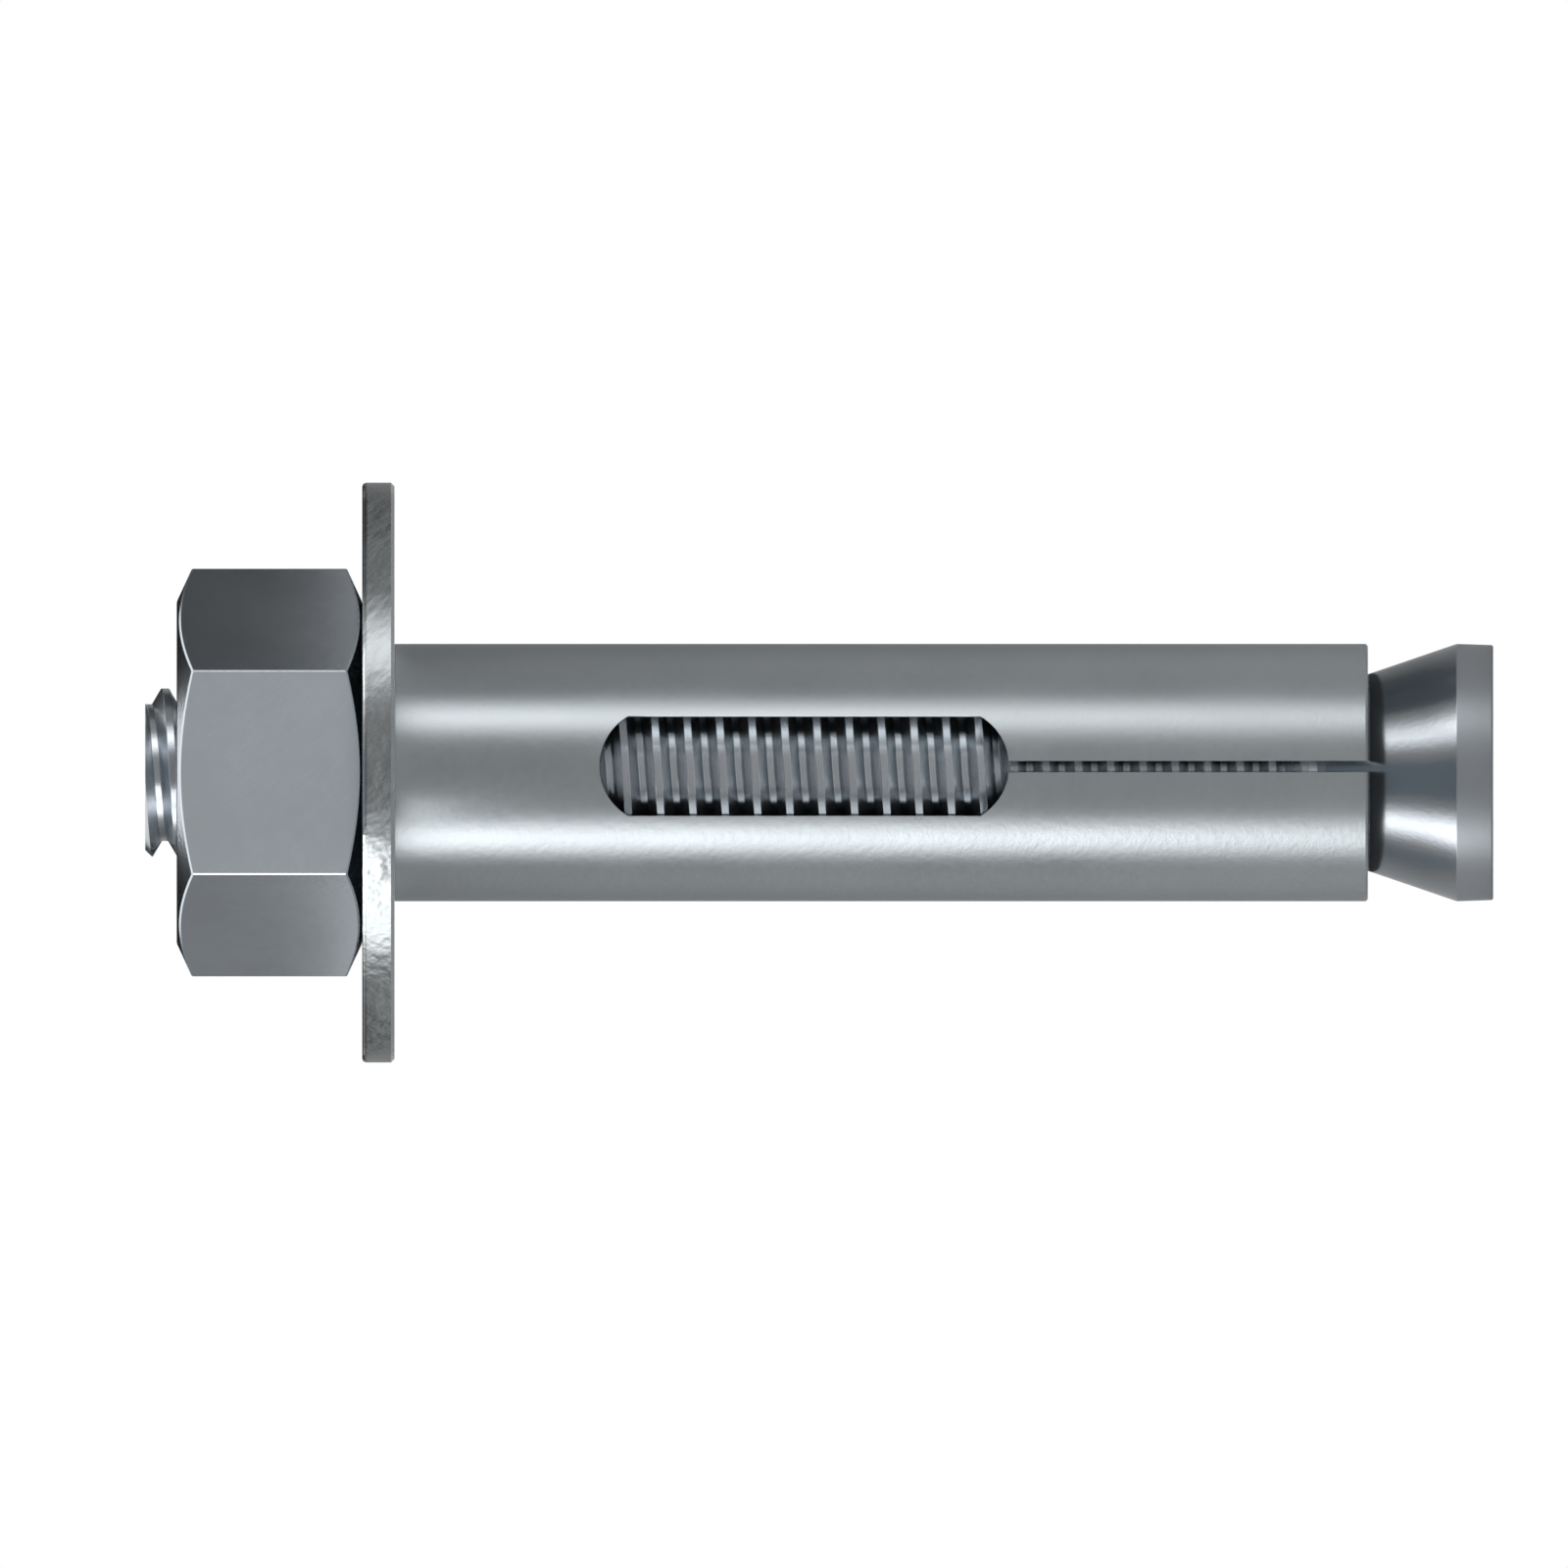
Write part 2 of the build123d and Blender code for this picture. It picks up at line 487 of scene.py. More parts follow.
def sleeve_outline():
    """The unrolled sleeve as (centre angle, across, height), anticlockwise from the seam's foot."""
    seam_angle = FIRST_CUT_ANGLE - math.tau / PETALS
    outline = [(seam_angle, SEAM_HALF_GAP, SLEEVE_END)]
    start = seam_angle + SEAM_HALF_GAP / SLEEVE_RADIUS
    for cut in range(PETALS - 1):
        centre = FIRST_CUT_ANGLE + cut * math.tau / PETALS
        end = centre - SLIT_HALF_WIDTH / SLEEVE_RADIUS
        outline += [(a, 0, SLEEVE_END) for a in angles_between(start, end)]
        outline += [(centre, across, height) for across, height in window_outline()]
        start = centre + SLIT_HALF_WIDTH / SLEEVE_RADIUS
    end = seam_angle + math.tau - SEAM_HALF_GAP / SLEEVE_RADIUS
    outline += [(a, 0, SLEEVE_END) for a in angles_between(start, end)]
    seam_foot = (-SEAM_HALF_GAP, SLEEVE_END)
    seam_head = (-SEAM_HALF_GAP, sleeve_high.z)
    seam_side = [seam_foot] + line_points(seam_foot, seam_head, CUT_STEP) + [seam_head]
    outline += [(seam_angle + math.tau, across, height) for across, height in seam_side]
    start = seam_angle + SEAM_HALF_GAP / SLEEVE_RADIUS
    outline += [(a, 0, sleeve_high.z) for a in reversed(angles_between(start, end))]
    outline += [(seam_angle, -across, height) for across, height in reversed(seam_side[1:])]
    return outline


def angles_between(start, end):
    """Even angles between two ends, the ends left out."""
    count = round((end - start) / SLEEVE_TURN_STEP)
    return [start + (end - start) * i / count for i in range(1, count)]


def turned(place, radius):
    """The angle round the axis of an outline place at some radius; cuts have parallel sides."""
    cut_angle, across = place[0], place[1]
    return cut_angle + math.asin((across + CUT_OFFSET) / radius)


def edge_ease(start, end):
    """The sleeve's lower end is eased more than its cuts."""
    at_end = start[2] == SLEEVE_END and end[2] == SLEEVE_END
    return SLEEVE_END_EASE if at_end else CUT_EASE


def outline_insets(outline):
    """For each place, how far its eased edge reaches into the metal, across and along."""
    flat = [Vector((turned(p, SLEEVE_RADIUS) * SLEEVE_RADIUS, p[2])) for p in outline]
    insets = []
    for i, here in enumerate(flat):
        before, after = flat[i - 1], flat[(i + 1) % len(flat)]
        in_edge, out_edge = (here - before).normalized(), (after - here).normalized()
        in_normal, out_normal = Vector((-in_edge.y, in_edge.x)), Vector((-out_edge.y, out_edge.x))
        in_ease = edge_ease(outline[i - 1], outline[i])
        out_ease = edge_ease(outline[i], outline[(i + 1) % len(outline)])
        turn = in_normal.x * out_normal.y - in_normal.y * out_normal.x
        if abs(turn) < STRAIGHT_BEND:
            inset = (in_normal * in_ease + out_normal * out_ease) / 2
        else:
            inset = Vector(
                (
                    (in_ease * out_normal.y - out_ease * in_normal.y) / turn,
                    (out_ease * in_normal.x - in_ease * out_normal.x) / turn,
                )
            )
        insets.append((inset, max(in_ease, out_ease)))
    return insets


def outer_radius(height):
    """The outside, which is the same at every height."""
    return SLEEVE_RADIUS


def inner_radius(height):
    """The bore, which widens along the cone towards the sleeve's end."""
    return max(BORE_RADIUS, MOUTH_RADIUS + (SLEEVE_END - height) * CONE_SLOPE)


def add_eased_loop(skin, normals, outline, insets, radius_at, side, turn, facing):
    """Adds one row of an eased edge. Its side is 1 at the outside and -1 at the bore, and two
    angles say how far round the edge the row lies and faces."""
    loop = []
    for place, (inset, ease) in zip(outline, insets):
        share = 1 - math.sin(turn)
        height = place[2] + inset.y * share
        row_radius = radius_at(height) - side * ease * (1 - math.cos(turn))
        angle = turned((place[0], place[1] + inset.x * share), row_radius)
        loop.append(skin.point(from_front(angle, row_radius, height)))
        outward = Vector(from_front(angle, 1, 0)) * side
        inward = inset.normalized()
        across = Vector((math.cos(place[0]), math.sin(place[0]), 0))
        opening = -(across * inward.x + Vector((0, 0, inward.y)))
        normals.append((outward * math.cos(facing) + opening * math.sin(facing)).normalized())
    return loop


def add_wall_skin(skin, normals, loop, outline, insets, radius_at, side):
    """Fills one side of the unrolled sleeve with triangles inside its outline."""
    border = []
    for place, (inset, _) in zip(outline, insets):
        height = place[2] + inset.y
        border.append(Vector((turned((place[0], place[1] + inset.x), radius_at(height)), height)))
    flat = [Vector((p.x * SLEEVE_RADIUS, p.y)) for p in border]
    low_angle, high_angle = min(p.x for p in border), max(p.x for p in border)
    rows = int((sleeve_high.z - SLEEVE_END) / WALL_STEP)
    for angle in angles_between(low_angle, high_angle):
        for row in range(1, rows):
            flat.append(Vector((angle * SLEEVE_RADIUS, SLEEVE_END + WALL_STEP * row)))
    corners = range(len(border))
    edges = [(i, (i + 1) % len(border)) for i in corners]
    inside_only, tolerance = 1, 1e-9
    made, _, faces, sources, _, _ = delaunay_2d_cdt(
        flat, edges, [list(corners)], inside_only, tolerance
    )
    numbers = []
    for position, source in zip(made, sources):
        known = [s for s in source if s < len(border)]
        if known:
            numbers.append(loop[known[0]])
            continue
        angle = position.x / SLEEVE_RADIUS
        numbers.append(skin.point(from_front(angle, radius_at(position.y), position.y)))
        normals.append(Vector(from_front(angle, 1, 0)) * side)
    for face in faces:
        skin.face(*[numbers[corner] for corner in face])


def make_sleeve(material):
    """The rolled sleeve with its windows, slits and open seam, every edge eased."""
    skin, normals = Skin(), []
    outline = sleeve_outline()
    insets = outline_insets(outline)
    turns = [(math.radians(turn), math.radians(facing)) for turn, facing in EASED_ROWS]
    loops = []
    for turn, facing in turns:
        loops.append(add_eased_loop(skin, normals, outline, insets, outer_radius, 1, turn, facing))
    for turn, facing in reversed(turns):
        loops.append(add_eased_loop(skin, normals, outline, insets, inner_radius, -1, turn, facing))
    for loop, after in zip(loops, loops[1:]):
        skin.bridge(loop, after)
    add_wall_skin(skin, normals, loops[0], outline, insets, outer_radius, 1)
    add_wall_skin(skin, normals, loops[-1], outline, insets, inner_radius, -1)
    sleeve = make_piece("slotted_sheet_tube", skin, material, "sleeve", "expansion_sleeve")
    sleeve.data.normals_split_custom_set_from_vertices(normals)


# Shader nodes
# Inputs of the Mix node, which have to be named by number: its share, two numbers and two colours
MIX_SHARE = 0
MIX_LOW, MIX_HIGH = 2, 3
MIX_LOW_COLOUR, MIX_HIGH_COLOUR = 6, 7

# Noise seldom leaves this range, which is spread from 0 to 1
NOISE_LOW, NOISE_HIGH = 0.3, 0.7


def add_node(tree, kind, inputs=None, **settings):
    """Adds a shader node; its inputs are values or the sockets that feed them."""
    node = tree.nodes.new("ShaderNode" + kind)
    for name, value in settings.items():
        setattr(node, name, value)
    for name, value in (inputs or {}).items():
        if isinstance(value, bpy.types.NodeSocket):
            tree.links.new(value, node.inputs[name])
        else:
            node.inputs[name].default_value = value
    return node


def ramp(tree, value, start, end):
    """0 where a value is at its start or before it, and 1 at its end or past it."""
    inputs = {"Value": value, "From Min": start, "From Max": end}
    return add_node(tree, "MapRange", inputs).outputs[0]


def calculate(tree, operation, first, second):
    """What a Math node makes of two numbers."""
    return add_node(tree, "Math", {0: first, 1: second}, operation=operation).outputs[0]


def mix_shaders(tree, share, first, second):
    """A shader that is the first where the share is 0 and the second where it is 1."""
    inputs = {0: share, 1: first.outputs[0], 2: second.outputs[0]}
    return add_node(tree, "MixShader", inputs)


def distance_from_axis(tree):
    """How far a place on the surface is from the object's upright axis."""
    place = add_node(tree, "TexCoord").outputs["Object"]
    across = add_node(tree, "VectorMath", {0: place, 1: (1, 1, 0)}, operation="MULTIPLY")
    return add_node(tree, "VectorMath", {0: across.outputs[0]}, operation="LENGTH").outputs["Value"]


def new_group(name, inputs, outputs):
    """Starts a shader node group; returns it with the sockets that feed it and those it fills."""
    group = bpy.data.node_groups.new(name, "ShaderNodeTree")
    for label, value in inputs.items():
        kind = "NodeSocketVector" if isinstance(value, tuple) else "NodeSocketFloat"
        socket = group.interface.new_socket(label, in_out="INPUT", socket_type=kind)
        socket.default_value = value
    for label, kind in outputs.items():
        group.interface.new_socket(label, in_out="OUTPUT", socket_type="NodeSocket" + kind)
    return group, group.nodes.new("NodeGroupInput").outputs, group.nodes.new("NodeGroupOutput").inputs


def place_group(tree, group, inputs):
    """Places a node group in a material with values of its own, and returns its outputs."""
    node = tree.nodes.new("ShaderNodeGroup")
    node.node_tree = group
    for name, value in inputs.items():
        node.inputs[name].default_value = value
    return node.outputs


def ripple_group():
    """Height of a fine ripple, with features of a given size turned about the object's axes."""
    group, given, out = new_group(
        "surface_ripple",
        {"Size": (0.3 * MM, 0.3 * MM, 0.3 * MM), "Turn": (0.0, 0.0, 0.0), "Detail": 2.0},
        {"Height": "Float"},
    )
    place = add_node(group, "TexCoord").outputs["Object"]
    inputs = {"Vector": place, "Rotation": given["Turn"], "Scale": given["Size"]}
    stretched = add_node(group, "Mapping", inputs, vector_type="TEXTURE")
    inputs = {"Vector": stretched.outputs[0], "Scale": 1.0, "Detail": given["Detail"]}
    noise = add_node(group, "TexNoise", inputs)
    group.links.new(noise.outputs["Fac"], out["Height"])
    return group


def plating_group():
    """Tone of the plating: broad soft clouds with a finer mottle over them, from 0 to 1."""
    group, given, out = new_group(
        "plating_tone",
        {"Cloud Size": 6 * MM, "Mottle Size": 0.5 * MM, "Mottle": 0.3},
        {"Tone": "Float"},
    )
    place = add_node(group, "TexCoord").outputs["Object"]
    fields = []
    for size in ("Cloud Size", "Mottle Size"):
        scale = calculate(group, "DIVIDE", 1.0, given[size])
        noise = add_node(group, "TexNoise", {"Vector": place, "Scale": scale, "Detail": 3.0})
        fields.append(ramp(group, noise.outputs["Fac"], NOISE_LOW, NOISE_HIGH))
    clouds, mottle = fields
    inputs = {MIX_SHARE: given["Mottle"], MIX_LOW: clouds, MIX_HIGH: mottle}
    tone = add_node(group, "Mix", inputs)
    group.links.new(tone.outputs[0], out["Tone"])
    return group


RIPPLE = ripple_group()
PLATING_TONE = plating_group()


class Finish:
    """A plated-metal material that is built up one effect after another."""

    def __init__(self, name, edge_tint):
        self.material = bpy.data.materials.new(name)
        self.material.use_nodes = True
        self.tree = self.material.node_tree
        self.shader = self.tree.nodes["Principled BSDF"]
        self.shader.inputs["Metallic"].default_value = 1
        self.shader.inputs["Specular Tint"].default_value = (edge_tint, edge_tint, edge_tint, 1)
        self.normal = None

    def blend(self, share, low, high):
        """Mixes two numbers by a share that changes over the surface."""
        inputs = {MIX_SHARE: share, MIX_LOW: low, MIX_HIGH: high}
        return add_node(self.tree, "Mix", inputs).outputs[0]

    def blend_colours(self, share, low, high):
        """Mixes two colours, given as numbers or as sockets."""
        low, high = [(*end, 1) if isinstance(end, tuple) else end for end in (low, high)]
        inputs = {MIX_SHARE: share, MIX_LOW_COLOUR: low, MIX_HIGH_COLOUR: high}
        return add_node(self.tree, "Mix", inputs, data_type="RGBA").outputs[2]

    def colour(self, socket):
        self.tree.links.new(socket, self.shader.inputs["Base Color"])

    def roughness(self, socket):
        self.tree.links.new(socket, self.shader.inputs["Roughness"])

    def bump(self, height, distance, strength):
        """Adds relief, as deep as the distance, over what relief there is."""
        inputs = {"Height": height, "Distance": distance, "Strength": strength}
        if self.normal:
            inputs["Normal"] = self.normal
        self.normal = add_node(self.tree, "Bump", inputs).outputs[0]
        self.tree.links.new(self.normal, self.shader.inputs["Normal"])

    def ripple(self, size, distance, turn=(0.0, 0.0, 0.0), strength=1.0):
        """Adds a ripple with features of a size, turned about the object's axes."""
        given = {"Size": size, "Turn": turn}
        self.bump(place_group(self.tree, RIPPLE, given)["Height"], distance, strength)

    def tone(self, cloud, mottle, share):
        """The plating's tone, from clouds of a size with a share of a finer mottle."""
        given = {"Cloud Size": cloud, "Mottle Size": mottle, "Mottle": share}
        return place_group(self.tree, PLATING_TONE, given)["Tone"]

    def along_axis(self, axis, low, high):
        """0 before one place along an axis and 1 after another."""
        place = add_node(self.tree, "TexCoord").outputs["Object"]
        along = add_node(self.tree, "SeparateXYZ", {0: place}).outputs[axis]
        return ramp(self.tree, along, low, high)

    def radius_mask(self, low, high):
        """0 nearer to the axis than one radius and 1 beyond another."""
        return ramp(self.tree, distance_from_axis(self.tree), low, high)


# Materials
def sleeve_zinc():
    """Satin zinc over rolled sheet, with a fine orange peel, glossy cut sides and a lower end face
    painted dark as shade.
    """
    finish = Finish("satin_zinc_sheet", edge_tint=0.6)
    tone = finish.tone(cloud=7 * MM, mottle=0.4 * MM, share=0.35)
    on_face = finish.radius_mask(SLEEVE_RADIUS - 0.12 * MM, SLEEVE_RADIUS - 0.07 * MM)
    # The flat lower end face is painted near black as shade, which darkens its reflection in the cone.
    off_painted_shade_end = finish.along_axis("Z", SLEEVE_END + 0.003 * MM, SLEEVE_END + 0.01 * MM)
    cut_side, painted_shade_end = (0.5, 0.52, 0.535), (0.06, 0.065, 0.07)
    face = finish.blend_colours(tone, (0.325, 0.352, 0.368), (0.36, 0.388, 0.404))
    plated = finish.blend_colours(on_face, cut_side, face)
    finish.colour(finish.blend_colours(off_painted_shade_end, painted_shade_end, plated))
    glossy, dull = 0.18, 0.5
    satin = finish.blend(on_face, glossy, finish.blend(tone, 0.27, 0.33))
    finish.roughness(finish.blend(off_painted_shade_end, dull, satin))
    finish.ripple((0.28 * MM, 0.28 * MM, 0.14 * MM), 0.0035 * MM)
    lower_side = finish.along_axis("X", 1 * MM, -3 * MM)
    peel = (0.5 * MM, 0.5 * MM, 0.35 * MM)
    finish.ripple(peel, 0.008 * MM, turn=(0.0, 0.6, 0.0), strength=lower_side)
    return finish.material


def washer_zinc():
    """Zinc over a punched edge, torn on one side, with a highlight painted along its rolled-over upper
    corner.
    """
    finish = Finish("zinc_on_punched_edge", edge_tint=0.65)
    tone = finish.tone(cloud=5 * MM, mottle=0.4 * MM, share=0.4)
    # The rim's rolled upper corner is painted near white as a highlight line; its gloss there is the
    # real rolled finish.
    at_rim = finish.radius_mask(WASHER_RADIUS - 0.2 * MM, WASHER_RADIUS - 0.15 * MM)
    at_top = finish.along_axis("Z", washer_high.z - 0.14 * MM, washer_high.z - 0.1 * MM)
    rolled_edge_highlight = finish.blend(at_rim, 0.0, at_top)
    off_seat = finish.along_axis("Z", washer_low.z, washer_low.z + 0.02 * MM)
    painted_highlight_corner, smooth_seat = (0.82, 0.84, 0.86), (0.75, 0.78, 0.8)
    plated = finish.blend_colours(tone, (0.28, 0.297, 0.304), (0.33, 0.351, 0.358))
    rim = finish.blend_colours(rolled_edge_highlight, plated, painted_highlight_corner)
    finish.colour(finish.blend_colours(off_seat, smooth_seat, rim))
    corner_gloss, seat_gloss = 0.15, 0.12
    satin = finish.blend(rolled_edge_highlight, finish.blend(tone, 0.23, 0.3), corner_gloss)
    finish.roughness(finish.blend(off_seat, seat_gloss, satin))
    torn_side = finish.blend(finish.along_axis("X", 2 * MM, -4 * MM), 0.45, 1.0)
    torn = finish.blend(off_seat, 0.0, torn_side)
    slant = (0.6, -0.8, 0.0)
    finish.ripple((0.8 * MM, 0.8 * MM, 1.8 * MM), 0.07 * MM, slant, strength=torn)
    finish.ripple((0.2 * MM, 0.2 * MM, 0.4 * MM), 0.008 * MM, slant)
    return finish.material


def nut_zinc():
    """Bright zinc over a cold-formed hexagon, with soft slanting strokes."""
    finish = Finish("bright_zinc_hexagon", edge_tint=0.75)
    tone = finish.tone(cloud=9 * MM, mottle=0.6 * MM, share=0.25)
    finish.colour(finish.blend_colours(tone, (0.73, 0.79, 0.85), (0.78, 0.845, 0.905)))
    finish.roughness(finish.blend(tone, 0.13, 0.17))
    off_upper_flats = finish.along_axis("X", 6 * MM, 4.5 * MM)
    off_lower_flats = finish.along_axis("X", -6 * MM, -4.5 * MM)
    strokes = finish.blend(off_upper_flats, 0.1, finish.blend(off_lower_flats, 0.2, 1.0))
    stroke = (0.16 * MM, 0.16 * MM, 0.55 * MM)
    finish.ripple(stroke, 0.004 * MM, turn=(0.0, -0.5, 0.0), strength=strokes)
    return finish.material


def stud_zinc():
    """Satin zinc on the rolled thread with brighter flanks, a glossy cone and a dull rim."""
    finish = Finish("bright_zinc_thread", edge_tint=0.75)
    tone = finish.tone(cloud=6 * MM, mottle=0.4 * MM, share=0.3)
    above_rim = finish.along_axis("Z", RIM_TOP - 0.03 * MM, RIM_TOP + 0.03 * MM)
    on_thread = finish.along_axis("Z", SLEEVE_END + 1.5 * MM, SLEEVE_END + 2 * MM)
    below_crest = finish.radius_mask(THREAD_RADIUS - 0.01 * MM, THREAD_RADIUS - 0.03 * MM)
    above_root = finish.radius_mask(ROOT_RADIUS + 0.01 * MM, ROOT_RADIUS + 0.03 * MM)
    on_flank = finish.blend(above_root, 0.0, below_crest)
    cone = finish.blend_colours(tone, (0.41, 0.44, 0.465), (0.45, 0.48, 0.51))
    satin = finish.blend_colours(tone, (0.42, 0.45, 0.48), (0.47, 0.5, 0.53))
    bright = finish.blend_colours(tone, (0.58, 0.61, 0.64), (0.62, 0.65, 0.68))
    rim = (0.31, 0.33, 0.35)
    forged = finish.blend_colours(above_rim, rim, cone)
    rolled = finish.blend_colours(on_flank, satin, bright)
    finish.colour(finish.blend_colours(on_thread, forged, rolled))
    cone_gloss, thread_gloss, rim_gloss = 0.18, 0.25, 0.42
    gloss = finish.blend(on_thread, cone_gloss, thread_gloss)
    finish.roughness(finish.blend(above_rim, rim_gloss, gloss))
    finish.ripple((0.2 * MM, 0.2 * MM, 0.3 * MM), 0.0035 * MM)
    return finish.material


make_stud(stud_zinc())
make_sleeve(sleeve_zinc())
make_washer(washer_zinc())
make_nut(nut_zinc())


# Stage
WHITE = (1, 1, 1)
DEGREES_PER_STEP = 5
TENT_RADIUS = 0.55
STRIP_RADIUS = 0.45


def seen_directly(tree):
    """1 for the camera, in mirrors and through glass, and 0 for the rest of the light."""
    path = add_node(tree, "LightPath").outputs
    either = calculate(tree, "MAXIMUM", path["Is Camera Ray"], path["Is Glossy Ray"])
    return calculate(tree, "MAXIMUM", either, path["Is Transmission Ray"])


def make_world():
    """White wherever it is seen, and a plain soft light."""
    soft_light = 0.4
    world = bpy.data.worlds.new("white_studio")
    bpy.context.scene.world = world
    world.use_nodes = True
    tree = world.node_tree
    plain = tree.nodes["Background"]
    plain.inputs["Color"].default_value = (*WHITE, 1)
    plain.inputs["Strength"].default_value = soft_light
    white = add_node(tree, "Background", {"Color": (*WHITE, 1), "Strength": 1})
    choose = mix_shaders(tree, seen_directly(tree), plain, white)
    tree.links.new(choose.outputs[0], tree.nodes["World Output"].inputs["Surface"])


def new_stage_material(name):
    """A material whose usual shader is taken out."""
    material = bpy.data.materials.new(name)
    material.use_nodes = True
    material.node_tree.nodes.remove(material.node_tree.nodes["Principled BSDF"])
    return material


def floor_paint():
    """Pale near the anchor, white where it is seen further out, and clear from below."""
    fade_start, fade_end = 0.12, 0.45
    pale_grey = (0.9, 0.9, 0.9)
    material = new_stage_material("pale_floor")
    tree = material.node_tree
    fade = ramp(tree, distance_from_axis(tree), fade_start, fade_end)
    white = add_node(tree, "Emission", {"Color": (*WHITE, 1), "Strength": 1})
    pale = add_node(tree, "BsdfDiffuse", {"Color": (*pale_grey, 1)})
    share = calculate(tree, "MULTIPLY", fade, seen_directly(tree))
    above = mix_shaders(tree, share, pale, white)
    from_below = add_node(tree, "NewGeometry").outputs["Backfacing"]
    choose = mix_shaders(tree, from_below, above, add_node(tree, "BsdfTransparent"))
    tree.links.new(choose.outputs[0], tree.nodes["Material Output"].inputs["Surface"])
    return material


def make_floor():
    """A pale floor that fades into the white round it, with an opening under the tip."""
    steps, reach = 96, 3.0
    opening = SLEEVE_RADIUS - 0.15 * MM
    level = TIP - 0.01 * MM
    skin = Skin()
    skin.bridge(skin.level_ring(steps, reach, level), skin.level_ring(steps, opening, level))
    floor = make_object("pale_floor", skin)
    floor.data.materials.append(floor_paint())


def make_card(name, rows, glow, colour=WHITE):
    """A card of the light tent, seen by the metal alone: two rows of places, each with its glow."""
    skin = Skin()
    skin.bridge(*[[skin.point(place) for place in row] for row in rows], closed=False)
    card = make_object(name, skin)
    shine = card.data.attributes.new("glow", "FLOAT", "POINT")
    shine.data.foreach_set("value", glow)
    card.visible_camera = False
    card.visible_diffuse = False
    card.visible_shadow = False
    card.visible_transmission = False
    material = new_stage_material(name)
    tree = material.node_tree
    strength = add_node(tree, "Attribute", attribute_name="glow").outputs["Fac"]
    light = add_node(tree, "Emission", {"Color": (*colour, 1), "Strength": strength})
    tree.links.new(light.outputs[0], tree.nodes["Material Output"].inputs["Surface"])
    card.data.materials.append(material)


def arc_row(start, end, height, radius, steps):
    """Places on an arc round the axis, between two angles in degrees from the front towards +X."""
    angles = [math.radians(start + (end - start) * i / steps) for i in range(steps + 1)]
    return [from_front(angle, radius, height) for angle in angles]


def make_wall_card(name, start, end, heights, levels, colour=WHITE, radius=TENT_RADIUS):
    """A card that curves round the anchor; its heights and levels are those of its foot and head."""
    steps = max(2, round(abs(end - start) / DEGREES_PER_STEP))
    rows = [arc_row(start, end, height, radius, steps) for height in heights]
    foot, head = levels
    make_card(name, rows, [foot] * (steps + 1) + [head] * (steps + 1), colour)


def make_soft_strip(name, middles, half_width, heights, levels, edge, radius=STRIP_RADIUS):
    """An upright strip of light that swells from its edges to its middle. It may lean: its middles,
    heights and levels are those of its foot and head."""
    steps, sharpness = 32, 4
    swell = [math.sin(math.pi * i / steps) ** sharpness for i in range(steps + 1)]
    rows, glow = [], []
    for middle, height, level in zip(middles, heights, levels):
        rows.append(arc_row(middle - half_width, middle + half_width, height, radius, steps))
        glow += [edge + (level - edge) * share for share in swell]
    make_card(name, rows, glow)


def make_tent():
    """Grey cards all round, a darker belt above them, open to the white over the anchor. Each card
    has its angles in degrees from the front towards +X, then its heights and levels."""
    foot, ring_top, belt_top, low_belt_top = TIP + 0.001, 0.16, 0.6, 0.27
    ring, belt, strip = (foot, ring_top), (ring_top, belt_top), (foot, 0.38)
    bluish = (0.85, 1.0, 1.12)
    inside_walls, inside_strips, near_nut, near_washer = 0.54, 0.44, 0.12, 0.03
    below_washer = -0.0001
    make_wall_card("grey_wall_front", -100, 100, ring, (0.38, 0.26))
    make_wall_card("grey_wall_right", 100, 180, (foot, 0), (0.5, 0.46))
    make_wall_card("fading_wall_right", 100, 180, (0, 0.125), (0.46, 0.14))
    make_wall_card("grey_wall_left", 180, 260, (foot, 0.02), (0.58, 0.56))
    make_wall_card("fading_wall_left", 180, 260, (0.02, ring_top), (0.56, 0.25))
    make_wall_card("dim_belt_front", -60, 60, belt, (0.2, 0.2), bluish)
    make_wall_card("dark_belt_right", 60, 105, (0.125, belt_top), (0.11, 0.06), bluish)
    make_wall_card("low_belt_right", 105, 160, (0.125, low_belt_top), (0.11, 0.09), bluish)
    make_wall_card("black_belt_back", 155, 205, (0.03, 0.57), (0.015, 0.015), radius=inside_walls)
    make_wall_card("grey_belt_left", 255, 300, belt, (0.23, 0.23), bluish)
    make_wall_card("low_belt_left", 200, 255, (ring_top, low_belt_top), (0.23, 0.23), bluish)
    make_wall_card("dark_card_by_nut", 100, 140, (0.0015, 0.06), (0.067, 0.067), radius=near_nut)
    make_wall_card("grey_card_by_nut", -140, -100, (0.0025, 0.06), (0.2, 0.2), radius=near_nut)
    make_soft_strip("glow_right", (52, 38), 29, strip, (3.6, 1.1), 0.3)
    make_soft_strip("glow_left", (-61, -60), 32, strip, (4.8, 1.4), 0.3)
    streak = (0.2, 0.42)
    make_soft_strip("streak_right", (39.7, 39.7), 3, streak, (1.5, 6.0), 1.2, radius=inside_strips)
    rim, beside_rim = (below_washer, 0.013), (below_washer, 0.004)
    make_wall_card("glow_by_washer", -40, -22, rim, (4.2, 4.2), radius=near_washer)
    make_wall_card("glow_beside_washer", -22, -14, beside_rim, (1.1, 1.1), radius=near_washer)


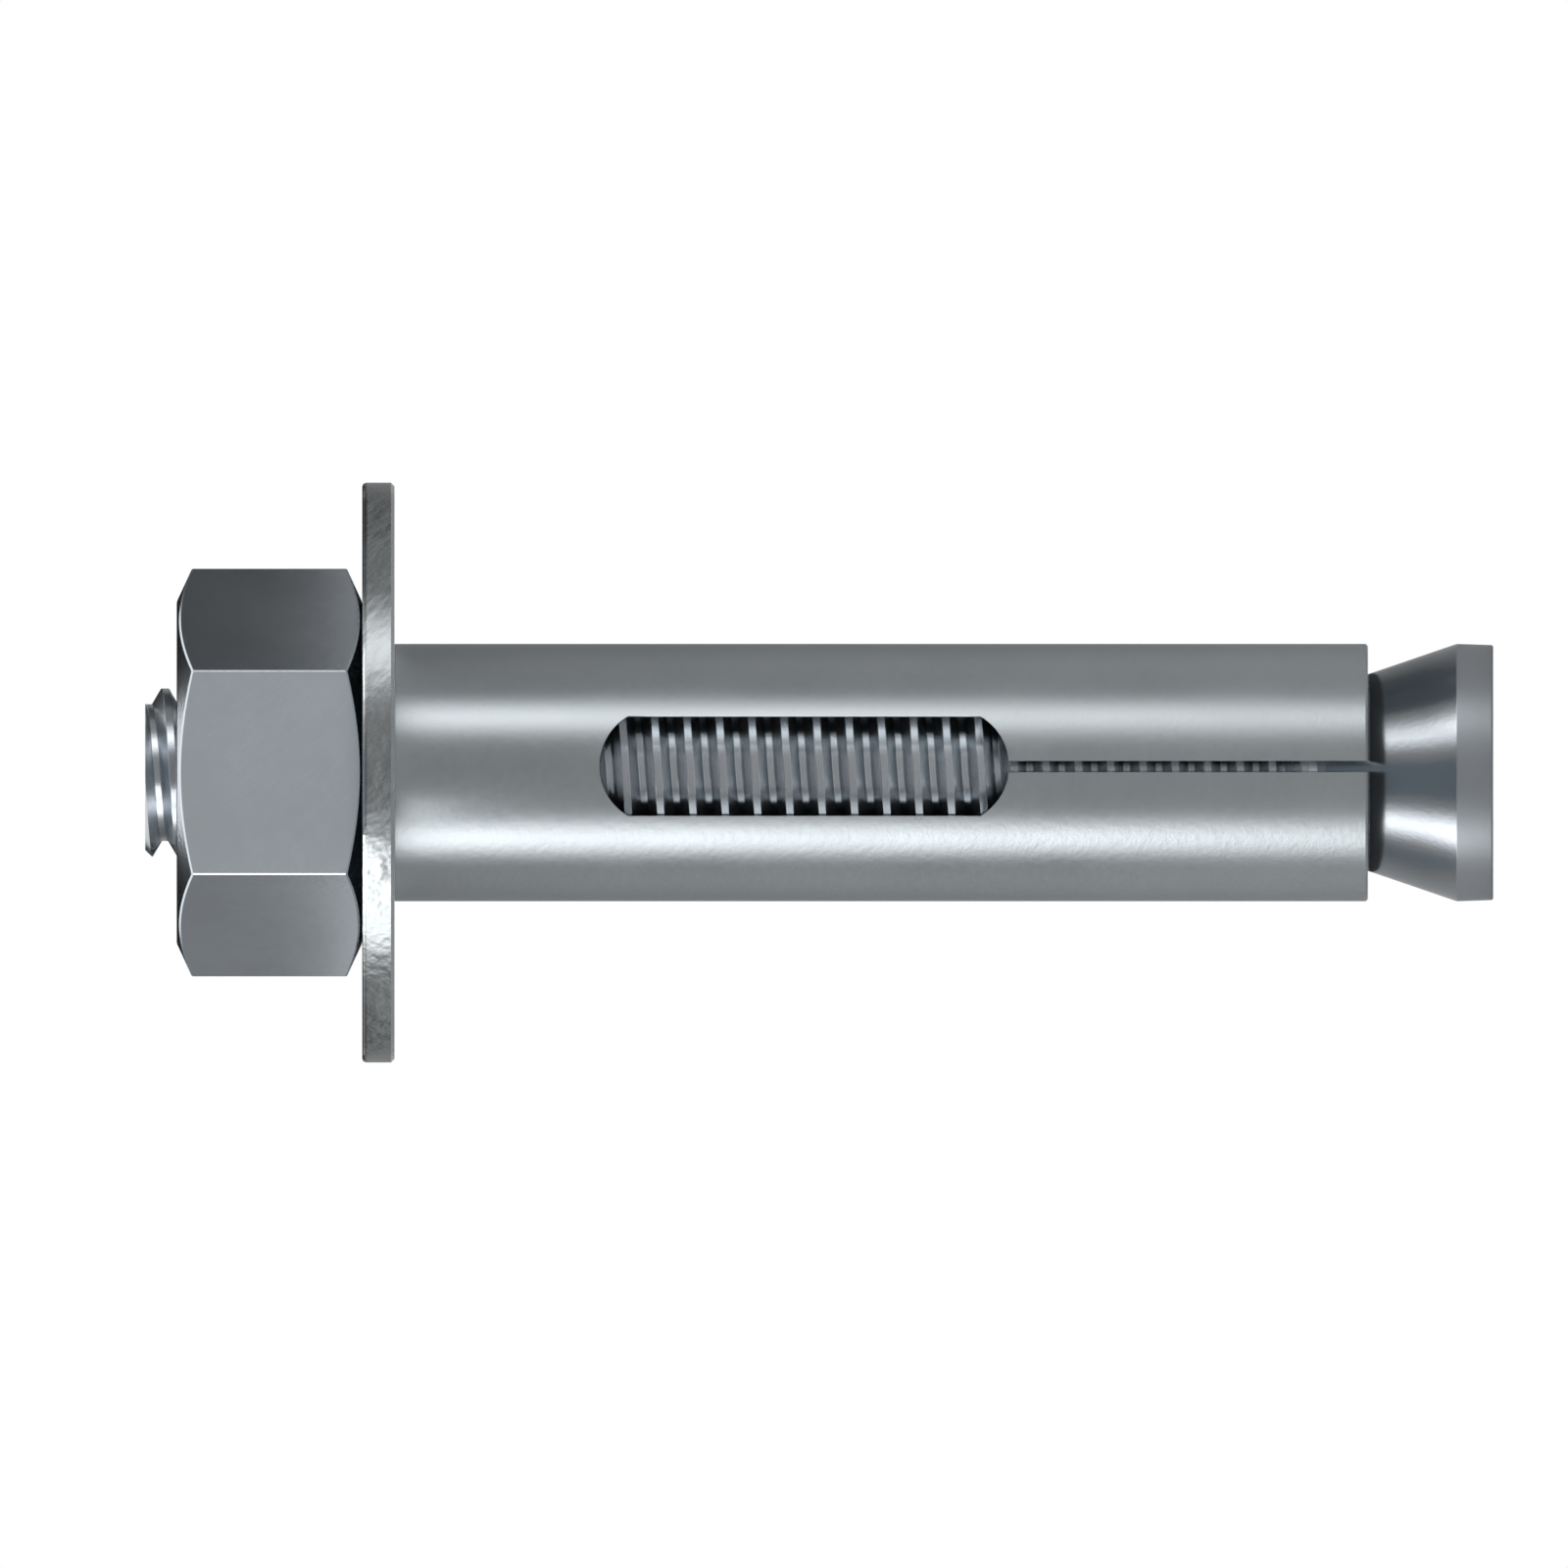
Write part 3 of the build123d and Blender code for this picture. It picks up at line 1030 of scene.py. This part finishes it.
def make_softbox(name, foot, head, width, radiance):
    """A strip lamp between two places, facing the anchor."""
    foot, head = Vector(foot), Vector(head)
    length = (head - foot).length
    lamp = bpy.data.lights.new(name, "AREA")
    lamp.shape = "RECTANGLE"
    lamp.size, lamp.size_y = width, length
    lamp.energy = radiance * math.pi * width * length
    holder = bpy.data.objects.new(name, lamp)
    bpy.context.scene.collection.objects.link(holder)
    middle = (foot + head) / 2
    along = (head - foot).normalized()
    back = (middle - along * middle.dot(along)).normalized()
    turn = Matrix((along.cross(back), along, back)).transposed().to_4x4()
    holder.matrix_world = Matrix.Translation(middle) @ turn
    holder.visible_camera = False
    holder.visible_glossy = False


def make_lamps():
    """A strip softbox on either side of the camera, and a broad one overhead."""
    foot, head, distance = TIP + 0.01, 0.36, 0.4
    right_foot = from_front(math.radians(52.5), distance, foot)
    right_head = from_front(math.radians(37), distance, head)
    left = math.radians(-60.6)
    left_foot, left_head = from_front(left, distance, foot), from_front(left, distance, head)
    make_softbox("softbox_right", right_foot, right_head, width=0.03, radiance=3.0)
    make_softbox("softbox_left", left_foot, left_head, width=0.04, radiance=3.0)
    make_softbox("softbox_top", (-0.25, 0, 0.5), (0.25, 0, 0.5), width=0.5, radiance=2.0)


def make_camera():
    """Square on to the anchor from the front, with the nut to the left and +X up, as photographed."""
    photo_side = 1600
    pixels_per_metre = 20.69 / MM
    axis_row, bearing_column = 788.35, 402.65
    distance = 0.3
    camera = bpy.data.cameras.new("photo_camera")
    camera.type = "ORTHO"
    camera.ortho_scale = photo_side / pixels_per_metre
    camera.clip_start, camera.clip_end = 0.01, 5
    holder = bpy.data.objects.new("photo_camera", camera)
    bpy.context.scene.collection.objects.link(holder)
    right, up, back = Vector((0, 0, -1)), Vector((1, 0, 0)), Vector((0, -1, 0))
    centre = right * (photo_side / 2 - bearing_column) - up * (photo_side / 2 - axis_row)
    turn = Matrix((right, up, back)).transposed().to_4x4()
    holder.matrix_world = Matrix.Translation(centre / pixels_per_metre + back * distance) @ turn
    bpy.context.scene.camera = holder


make_world()
make_floor()
make_tent()
make_lamps()
make_camera()

bpy.context.scene.view_settings.view_transform = "Standard"
